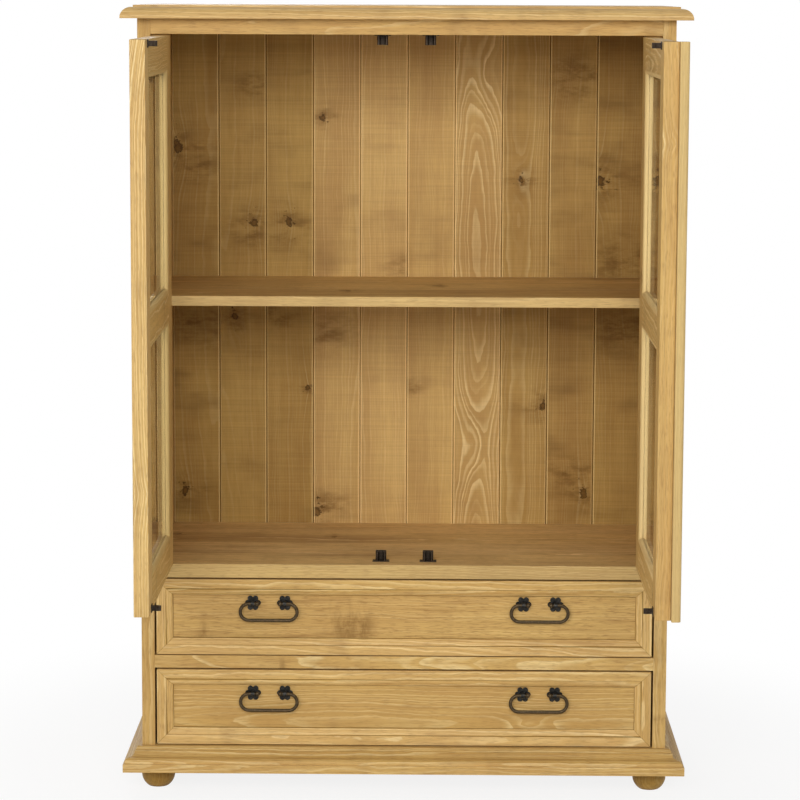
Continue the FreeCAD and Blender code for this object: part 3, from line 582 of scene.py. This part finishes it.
# Each board's line strength, tone, stains, and its heart's offset and depth, then its knots and smudges.
# A spot's numbers are its height, its offset from the board's middle, and its radius or spread.
# The outer boards' tones are darker than the middle ones'. This is painted shade from the side panels
# and the open doors, on top of each board's own tone.
back_board_trees = (
    (
        (0.25, -2.2, 0.80, 0.030, 0.055),
        [(1.131, -0.037, 0.0095), (0.477, -0.025, 0.0065)],
        [(0.800, 0.0, 0.040), (1.095, 0.0, 0.030)],
    ),
    (
        (0.22, -2.0, 0.50, -0.050, 0.050),
        [(0.990, 0.018, 0.0066), (0.810, -0.018, 0.0060)],
        [(1.250, 0.02, 0.022), (0.965, 0.012, 0.022)],
    ),
    (
        (0.25, -2.0, 0.45, 0.060, 0.045),
        [(0.990, -0.006, 0.0066), (0.677, 0.031, 0.0040)],
        [(0.815, -0.03, 0.026), (0.970, -0.014, 0.022)],
    ),
    (
        (0.30, 0.2, 0.35, 0.046, 0.034),
        [(1.188, -0.028, 0.0046), (0.437, -0.041, 0.0080)],
        [(0.785, -0.03, 0.036), (0.450, -0.02, 0.026)],
    ),
    ((0.28, 0.6, 0.30, -0.070, 0.040), [], [(0.905, 0.035, 0.022)]),
    ((0.22, 0.2, 0.30, 0.080, 0.050), [], [(0.680, -0.042, 0.018)]),
    ((0.68, 0.1, 0.20, 0.000, 0.030), [(1.271, 0.010, -0.0125), (0.569, -0.010, -0.0145)], []),
    ((0.48, -1.4, 0.35, -0.016, 0.030), [(1.072, -0.010, 0.0050), (0.643, 0.034, 0.0064)], []),
    (
        (0.25, -1.5, 0.60, 0.070, 0.055),
        [(0.475, 0.024, 0.0070)],
        [(1.265, 0.0, 0.040), (0.510, 0.0, 0.034)],
    ),
    (
        (0.22, -1.9, 0.55, -0.060, 0.050),
        [(1.072, -0.037, 0.0095)],
        [(0.920, 0.01, 0.046), (0.790, 0.01, 0.046)],
    ),
)
clear = (0, 0, 0)
sawn_boards = [
    {
        "lines": strength,
        "tone": tone,
        "stain": stain,
        "heart": beside,
        "under": deep,
        "knots": (knots + [clear, clear])[:2],
        "smudges": (smudges + [clear, clear])[:2],
        "tilt": 0.0,
    }
    for (strength, tone, stain, beside, deep), knots, smudges in back_board_trees
]
back_low, back_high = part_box("back_boards")
board_cover = (back_high.x - back_low.x) / len(sawn_boards)
joint_bottom = 0.0011
# Darkness for the joints' bottoms is wax and painted shade. The chamfers get bare wood and a painted
# highlight. The gaps behind get painted shade.
bottom_wax_and_shade, chamfer_bare_and_highlight, gap_shade = (2.6, 0.0), (-2.2, 0.6), (6.0, 0.0)


def joint_stain_and_painted_light(face):
    """The joints' chamfers, planed after the sawing, hold less stain and get a painted highlight, and
    wax and painted shade darken their bottoms.
    Behind, the gaps between the boards are darkened as painted shade."""
    if face.normal.y > 0.05:
        return gap_shade if face.normal.y <= 0.98 else (0.0, 0.0)
    if abs(face.normal.x) < 0.4:
        return 0.0, 0.0
    across = face.calc_center_median().x - back_low.x
    from_joint = abs(across - board_cover * round(across / board_cover))
    return bottom_wax_and_shade if from_joint < joint_bottom else chamfer_bare_and_highlight


nail_point, nail_head = 0.0007, 0.0030
nail_length = 0.030
nail_hole = 0.0060
nail_depth = 0.0012
hole_taper = 0.0003
held_by = ("back_top_rail", "shelf", "cabinet_floor", "base_board")
nail_heights = [sum(corner.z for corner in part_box(rail)) / 2 for rail in held_by]
nail_columns = [
    back_low.x + board_cover * (number + share)
    for number in range(len(sawn_boards))
    for share in (0.2, 0.8)
]


def scribed(shape, faces, place, across):
    """Faces parted along a line, as a scribed line parts a board."""
    outlines = once(part for face in faces for part in (*face.verts, *face.edges))
    bmesh.ops.bisect_plane(shape, geom=[*faces, *outlines], plane_co=place, plane_no=across)


def punched(shape):
    """The joints' chamfers parted along their bottoms, and square holes behind for the nails."""
    sideways = Vector((1, 0, 0))
    for joint in range(1, len(sawn_boards)):
        for edge in (-joint_bottom, joint_bottom):
            fronts = [face for face in shape.faces if face.normal.y < 0]
            slopes = [face for face in fronts if 0.5 < abs(face.normal.x) < 0.9]
            scribed(shape, slopes, sideways * (back_low.x + board_cover * joint + edge), sideways)
    for axis, middles in ((0, nail_columns), (2, nail_heights)):
        across = Vector([number == axis for number in range(3)])
        for middle in middles:
            for edge in (-nail_hole / 2, nail_hole / 2):
                backs = [face for face in shape.faces if face.normal.y > 0.99]
                scribed(shape, backs, across * (middle + edge), across)
    backs = [face for face in shape.faces if face.normal.y > 0.99]
    largest = 1.1 * nail_hole**2
    holes = [face for face in backs if face.calc_area() < largest]
    bmesh.ops.inset_individual(shape, faces=holes, thickness=hole_taper, depth=-nail_depth)


wooden(
    "back_boards",
    inside_pine,
    ease=0.0005,
    fleck=0.12,
    known=sawn_boards,
    shade=joint_stain_and_painted_light,
    carve=punched,
)


def metal(name, base, worn, rough, grain, shine):
    """A dark metal with a mottled skin, a little brighter where it is rubbed."""
    finish, tree = blank_finish(name)
    pit_strength, pit_depth = 0.35, 0.0004
    place = wire(tree, "ShaderNodeTexCoord").outputs["Object"]
    mottle = speckle(tree, place, scale=grain, detail=4.0, roughness=0.6)["Fac"]
    patch = ramp(tree, mottle, 0.42, 0.72)
    bump = wire(tree, "ShaderNodeBump", pit_strength, pit_depth)
    tree.links.new(mottle, bump.inputs["Height"])
    shader = tree.nodes.new("ShaderNodeBsdfPrincipled")
    shader.inputs["Metallic"].default_value = shine
    tree.links.new(blend(tree, patch, (*base, 1), (*worn, 1)), shader.inputs["Base Color"])
    tree.links.new(ramp(tree, mottle, 0.3, 0.7, rough - 0.08, rough + 0.10), shader.inputs["Roughness"])
    tree.links.new(bump.outputs[0], shader.inputs["Normal"])
    laid_on(tree, shader)
    return finish


browned_steel = metal(
    "browned_steel",
    base=(0.030, 0.021, 0.014),
    worn=(0.075, 0.055, 0.038),
    rough=0.46,
    grain=260.0,
    shine=0.8,
)
nails = bmesh.new()
turned = Matrix.Rotation(math.radians(90), 4, "X") @ Matrix.Rotation(math.radians(45), 4, "Z")
for across in nail_columns:
    for height in nail_heights:
        at = Vector((across, back_high.y - nail_depth / 2 - nail_length / 2, height))
        bmesh.ops.create_cone(
            nails,
            cap_ends=True,
            segments=4,
            radius1=nail_point,
            radius2=nail_head,
            depth=nail_length,
            matrix=Matrix.Translation(at) @ turned,
        )
bmesh.ops.recalc_face_normals(nails, faces=nails.faces)
finished("back_nails", nails, browned_steel, "carcass")

# Base: a board and corner blocks of plain pine, behind an ogee moulding run on a spindle.
# The moulding is mitred at the two front corners, glued and pinned on.
# The runners of the upper drawer are of the same plain pine, screwed to the side panels.
plain_pine = pine(
    "plain_pine",
    ground=(0.60, 0.42, 0.20),
    ruddy=(0.58, 0.385, 0.18),
    line=(0.46, 0.27, 0.105),
    streaks=0.22,
    saw_marks=0.12,
    gloss=0.62,
)
wooden("base_board", plain_pine, staves=4, knotty=0.5)
wooden("foot_blocks", plain_pine)
wooden("drawer_runners", plain_pine)
base_low, base_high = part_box("front_base_moulding")
# How much darker the upper half of the moulding is made, and how much lighter the lower half.
upper_darkening, lower_lightening = 0.9, -0.3


def darker_upper_half(face):
    """The upper half of the moulding, which slopes, is made darker, and the lower half a little lighter.
    """
    upper = face.calc_center_median().z > (base_low.z + base_high.z) / 2
    return (upper_darkening if upper else lower_lightening), 0.0


# The left and right mouldings get darker tones than the front one. This is painted shade, because they
# face away from the front light.
for side, tone in (("front", 0.0), ("left", -0.8), ("right", -0.5)):
    wooden(
        f"{side}_base_moulding",
        waxed_pine,
        ease=0.0006,
        knotty=0.0,
        lines=(0.5, 0.9),
        tone=tone,
        shade=darker_upper_half,
    )

# Feet: four buns turned from pine with the grain upright, dowelled into the blocks.
# They are given a darker tone than the rest, as painted shade for the shadow under the base.
upright = 2
wooden("bun_feet", waxed_pine, ease=0.0008, run=upright, lines=(0.2, 0.3), tone=-2.7)

# Top: a board glued up from four staves of pine, with a moulding run along its front and both ends.
# It is screwed down from inside, stained as the sides are and waxed.
wooden(
    "top_board", waxed_pine, ease=0.0006, staves=4, knotty=0.4, lines=(0.5, 0.9), tone=1.5
)

# Door frames: stiles mortised for the tenons of three rails, glued and sanded flush.
# Mitred sash mouldings hold the panes in front, and pinned beads behind.
# The right door has a rounded strip that covers the gap where the doors meet.


def wiped(face):
    """The thin mouldings are wiped almost clean of stain before they are pinned in."""
    wiped_bare = 0.4
    return 0.0, wiped_bare


doors = ("left_door", "right_door")
# The left door's trims get a darker tone and the right door's a lighter one. This is painted shade and
# light, because the front light falls more on the right door's inner face.
trim_light_and_shade = {"left_door": -1.1, "right_door": 0.9}
meeting_grain = {
    "left_door": [
        {
            "lines": 0.95,
            "tone": 0.9,
            "heart": -0.033,
            "under": 0.022,
            "knots": [(1.365, -0.0275, -0.014), (0.62, -0.0275, -0.006)],
        }
    ],
    "right_door": [
        {
            "lines": 0.40,
            "tone": 0.6,
            "heart": 0.030,
            "under": 0.050,
            "knots": [(1.187, -0.0275, -0.004), clear],
        }
    ],
}
for door in doors:
    for member in ("hinge_stile", "meeting_stile", "bottom_rail", "middle_rail", "top_rail"):
        grain = meeting_grain[door] if member == "meeting_stile" else ()
        wooden(
            f"{door}_{member}",
            waxed_pine,
            ease=0.0009,
            lines=(0.45, 0.9),
            tone=0.4,
            known=grain,
        )
    for trim in ("sash_mouldings", "glazing_beads"):
        wooden(
            f"{door}_{trim}",
            waxed_pine,
            ease=0.0004,
            knotty=0.0,
            tone=trim_light_and_shade[door],
            fleck=0.2,
            shade=wiped,
        )
wooden("right_door_astragal", waxed_pine, ease=0.0006, knotty=0.0, tone=-1.0, shade=wiped)

# Panes: clear float glass, four millimetres thick, with ground edges and a faint green cast.
# They lie between the sash mouldings and the beads, and keep the slight haze of a wiped pane.
window_glass, glass_tree = blank_finish("window_glass")
glass_place = wire(glass_tree, "ShaderNodeTexCoord").outputs["Object"]
smear = speckle(glass_tree, glass_place, scale=7.0, detail=3.0, roughness=0.6)["Fac"]
glass_shader = glass_tree.nodes.new("ShaderNodeBsdfPrincipled")
glass_shader.inputs["Base Color"].default_value = (0.978, 0.992, 0.984, 1)
glass_shader.inputs["Transmission Weight"].default_value = 1.0
glass_shader.inputs["IOR"].default_value = 1.5
glass_shader.inputs["Specular IOR Level"].default_value = 0.3
haze = ramp(glass_tree, smear, 0.4, 0.8, 0.0, 0.018)
glass_tree.links.new(haze, glass_shader.inputs["Roughness"])
shadow_let_through = 0.88
shadow_ray = wire(glass_tree, "ShaderNodeLightPath").outputs["Is Shadow Ray"]
glass_alpha = calc(glass_tree, "MULTIPLY_ADD", shadow_ray, -shadow_let_through, 1.0)
glass_tree.links.new(glass_alpha, glass_shader.inputs["Alpha"])
laid_on(glass_tree, glass_shader)
pane_ease = 0.0004
for door in doors:
    shape = eased(f"{door}_panes", pane_ease)
    panes = finished(f"{door}_glass", shape, window_glass, door)
    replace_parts(panes, f"{door}_panes")

# Hinges, catches and strikes: browned steel. Each hinge has two barrels on a pin.
# The catches are bent from one sheet, and they and the strikes are held by two slotted screws each.


def fitting(node, finish, ease):
    """A CAD piece in metal, with its edges eased."""
    piece = finished("worn_" + node, eased(node, ease), finish, frame["nodes"][node]["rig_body"])
    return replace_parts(piece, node)


for knuckles in ("hinge_frame_knuckles", "left_door_hinge_knuckles", "right_door_hinge_knuckles"):
    fitting(knuckles, browned_steel, ease=0.0007)
fitting("door_catches", browned_steel, ease=0.0002)
for door in doors:
    fitting(f"{door}_strikes", browned_steel, ease=0.0003)

# A screw head's height, taper and sides, and its slot's width, depth, taper and direction.
head_height, head_taper, head_sides = 0.0009, 0.86, 20
slot_width, slot_depth, slot_taper = 0.0007, 0.0005, 0.00004
slot_across = Vector((0.4, 0.9165, 0))


def slotted(screws, at, away, radius):
    """A slotted screw head on a plate, narrower at its top, with its slot pressed in."""
    turned = Vector((0, 0, 1)).rotation_difference(away).to_matrix().to_4x4()
    head = bmesh.ops.create_cone(
        screws,
        cap_ends=True,
        segments=head_sides,
        radius1=radius,
        radius2=radius * head_taper,
        depth=head_height,
        matrix=Matrix.Translation(at + away * head_height / 2) @ turned,
    )["verts"]

    def top_faces():
        """The faces on top of the head."""
        return once(face for vert in head for face in vert.link_faces if face.normal.dot(away) > 0.99)

    across = turned @ slot_across
    for edge in (-slot_width / 2, slot_width / 2):
        scribed(screws, top_faces(), at + across * edge, across)
    middles = [(face, (face.calc_center_median() - at).dot(across)) for face in top_faces()]
    slot = [face for face, aside in middles if abs(aside) < slot_width / 4]
    bmesh.ops.inset_region(screws, faces=slot, thickness=slot_taper, depth=-slot_depth)


# Each plate's thickness, how far its middle is from the outer end, and its screws' place and radius.
plate_screws = {"carcass": bmesh.new(), "left_door": bmesh.new(), "right_door": bmesh.new()}
catch_low, catch_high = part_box("door_catches")
catch_sheet, catch_half, catch_ear, catch_screw = 0.0012, 0.015, 0.0122, 0.0022
catch_middle = (catch_low.y + catch_high.y) / 2
for across in (catch_low.x + catch_half, catch_high.x - catch_half):
    for ear in (-catch_ear, catch_ear):
        for height, away in ((catch_low.z + catch_sheet, 1), (catch_high.z - catch_sheet, -1)):
            at = Vector((across + ear, catch_middle, height))
            slotted(plate_screws["carcass"], at, Vector((0, 0, away)), catch_screw)
strike_sheet, strike_half, strike_ear, strike_screw = 0.0015, 0.0065, 0.0025, 0.0018
for door, inward in (("left_door", Vector((1, 0, 0))), ("right_door", Vector((-1, 0, 0)))):
    low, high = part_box(f"{door}_strikes")
    plate = (low.x if inward.x > 0 else high.x) + inward.x * strike_sheet
    for height in (low.z + strike_half, high.z - strike_half):
        for ear in (low.y + strike_ear, high.y - strike_ear):
            slotted(plate_screws[door], Vector((plate, ear, height)), inward, strike_screw)
for body, screws in plate_screws.items():
    finished(f"{body}_plate_screws", screws, browned_steel, body)

# Drawers: a front panel framed by a mitred moulding, and a dovetailed box of plain pine.
# The sides, back and bottom are left without stain, as they are on such furniture.
drawers = ("lower_drawer", "upper_drawer")
front_mouldings = [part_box(f"{drawer}_front_moulding") for drawer in drawers]
slope_top, slope_foot = (0.0166, 0.0182), 0.0284
mitre_joint = 0.0006
# Painted shade goes in the quirk and along the panel's edge, wax goes in the mitres, and a painted
# highlight goes on the lower borders.
quirk_shade, mitre_wax, lower_border_highlight = 5.2, 2.8, -0.6


def mitre_wax_and_painted_light(face):
    """Wax and dust gather along the mitres. Painted shade darkens the quirk where the slope meets the
    border, and the edge where the slope meets the panel.
    The lower borders face the light and get a painted highlight."""
    middle = face.calc_center_median()
    low, high = min(front_mouldings, key=lambda box: abs(box[0].z + box[1].z - 2 * middle.z))
    from_end = min(middle.x - low.x, high.x - middle.x)
    from_edge = min(middle.z - low.z, high.z - middle.z)
    inwards = min(from_end, from_edge)
    if slope_top[0] < inwards < slope_top[1] or inwards > slope_foot:
        return quirk_shade, 0.0
    if abs(from_end - from_edge) < mitre_joint:
        return mitre_wax, 0.0
    lower_border = from_edge < from_end and middle.z < (low.z + high.z) / 2
    return (lower_border_highlight if lower_border else 0.0), 0.0


panel_grain = {
    "lower_drawer": {
        "lines": 0.52,
        "heart": -0.028,
        "under": 0.030,
        "tilt": 0.006,
        "tone": 0.0,
        "knots": [(0.222, -0.030, -0.0060), clear],
    },
    "upper_drawer": {
        "lines": 0.34,
        "heart": 0.120,
        "under": 0.050,
        "tilt": 0.004,
        "tone": 0.2,
        "smudges": [(-0.098, -0.012, 0.027), (-0.075, -0.020, 0.018)],
    },
}
for drawer, fleck in (("lower_drawer", 0.34), ("upper_drawer", 0.62)):
    panel, moulding = f"{drawer}_front_panel", f"{drawer}_front_moulding"
    grain = [panel_grain[drawer]]
    wooden(panel, waxed_pine, ease=0.0005, stain=0.12, fleck=fleck, known=grain)
    wooden(moulding, waxed_pine, ease=0.0004, knotty=0.0, tone=0.8, shade=mitre_wax_and_painted_light)
    for member in ("sides", "back", "bottom"):
        wooden(f"{drawer}_{member}", plain_pine, ease=0.0005, knotty=0.3)

# Pulls: rosettes and bails forged in iron and waxed black, with nuts behind the drawer fronts.
# Each bail hangs in the eyes of two rosettes, and hands have rubbed it brown.
forged_iron = metal(
    "forged_iron",
    base=(0.017, 0.016, 0.014),
    worn=(0.046, 0.044, 0.040),
    rough=0.42,
    grain=320.0,
    shine=0.85,
)
rubbed_iron = metal(
    "rubbed_iron",
    base=(0.046, 0.030, 0.013),
    worn=(0.105, 0.070, 0.033),
    rough=0.42,
    grain=240.0,
    shine=0.75,
)
for drawer in drawers:
    fitting(f"{drawer}_rosettes", forged_iron, ease=0.0006)
    fitting(f"{drawer}_handle_nuts", browned_steel, ease=0.0004)
    for side in ("left", "right"):
        fitting(f"{drawer}_{side}_bail", rubbed_iron, ease=0.0003)

# Studio: a pale floor that fades into a white surround and keeps the cabinet's shadow.
# A wide soft box lights the front, and weaker ones fill the sides and the back.
floor_radius, floor_sides = 6.0, 96
shadow_near, shadow_far, nearest_glow = 0.6, 1.2, 0.85
floor_shape = bmesh.new()
bmesh.ops.create_circle(floor_shape, cap_ends=True, segments=floor_sides, radius=floor_radius)
floor_mesh = bpy.data.meshes.new("studio_floor")
floor_shape.to_mesh(floor_mesh)
floor_shape.free()
studio_floor = bpy.data.objects.new("studio_floor", floor_mesh)
bpy.context.scene.collection.objects.link(studio_floor)
pale_floor, floor_tree = blank_finish("pale_floor")
floor_place = wire(floor_tree, "ShaderNodeTexCoord").outputs["Object"]
floor_reach = reach(floor_tree, floor_place)
floor_shader = floor_tree.nodes.new("ShaderNodeBsdfPrincipled")
floor_shader.inputs["Base Color"].default_value = (0.92, 0.92, 0.91, 1)
floor_shader.inputs["Roughness"].default_value = 0.7
floor_glow = wire(floor_tree, "ShaderNodeEmission", (1, 1, 1, 1), 1.0)


def showing(tree):
    """1 for what the camera sees, also in metal and through glass, and 0 for light on other pieces."""
    rays = wire(tree, "ShaderNodeLightPath").outputs
    mirrored = calc(tree, "MAXIMUM", rays["Is Camera Ray"], rays["Is Glossy Ray"])
    return calc(tree, "MAXIMUM", mirrored, rays["Is Transmission Ray"])


floor_fade = ramp(floor_tree, floor_reach, shadow_near, shadow_far, nearest_glow, 1.0)
floor_fade = calc(floor_tree, "MULTIPLY", showing(floor_tree), floor_fade)
floor_mix = wire(
    floor_tree, "ShaderNodeMixShader", floor_fade, floor_shader.outputs[0], floor_glow.outputs[0]
)
laid_on(floor_tree, floor_mix)
floor_mesh.materials.append(pale_floor)

surround = bpy.data.worlds.new("white_surround")
surround.use_nodes = True
bpy.context.scene.world = surround
sky_tree = surround.node_tree
sky_tree.nodes.clear()
sky_light = 0.22
brightness = calc(sky_tree, "MULTIPLY_ADD", showing(sky_tree), 1.0 - sky_light, sky_light)
sky = wire(sky_tree, "ShaderNodeBackground", (1, 1, 1, 1), brightness)
sky_tree.links.new(sky.outputs[0], sky_tree.nodes.new("ShaderNodeOutputWorld").inputs["Surface"])

# Each lamp's place, what it points at, its width, its height and its power.
for name, at, aim, wide, high, power in (
    ("front_box", (-0.6, -5.5, 2.7), (0, 0, 0.75), 5.8, 2.0, 240.0),
    ("right_fill", (4.4, 0.6, 2.2), (0, 0, 0.7), 2.0, 2.0, 22.0),
    ("left_fill", (-4.4, 0.6, 2.2), (0, 0, 0.7), 2.0, 2.0, 22.0),
    ("back_fill", (-1.6, 4.4, 2.4), (0, 0, 0.7), 3.0, 2.0, 60.0),
):
    lamp = bpy.data.lights.new(name, "AREA")
    lamp.shape = "RECTANGLE"
    lamp.size, lamp.size_y = wide, high
    lamp.energy = power
    holder = bpy.data.objects.new(name, lamp)
    towards = (Vector(aim) - Vector(at)).to_track_quat("-Z", "Y").to_matrix().to_4x4()
    holder.matrix_world = Matrix.Translation(at) @ towards
    bpy.context.scene.collection.objects.link(holder)

# Camera: a little above the height of the cabinet's top, and some five metres in front of it.
# It looks down slightly, so that the shelf and the floor of the cabinet show. Its turns are in degrees.
camera_place = (0.0405, -5.212, 1.4255)
turn_left, look_down, roll = 0.568, 7.33, 0.235
lens = bpy.data.cameras.new("camera")
lens.lens = 129.1
lens.shift_y = -0.05
camera = bpy.data.objects.new("camera", lens)
camera.matrix_world = (
    Matrix.Translation(camera_place)
    @ Matrix.Rotation(math.radians(turn_left), 4, "Z")
    @ Matrix.Rotation(math.radians(90 - look_down), 4, "X")
    @ Matrix.Rotation(math.radians(roll), 4, "Z")
)
bpy.context.scene.collection.objects.link(camera)
bpy.context.scene.camera = camera
bpy.context.scene.view_settings.view_transform = "Standard"
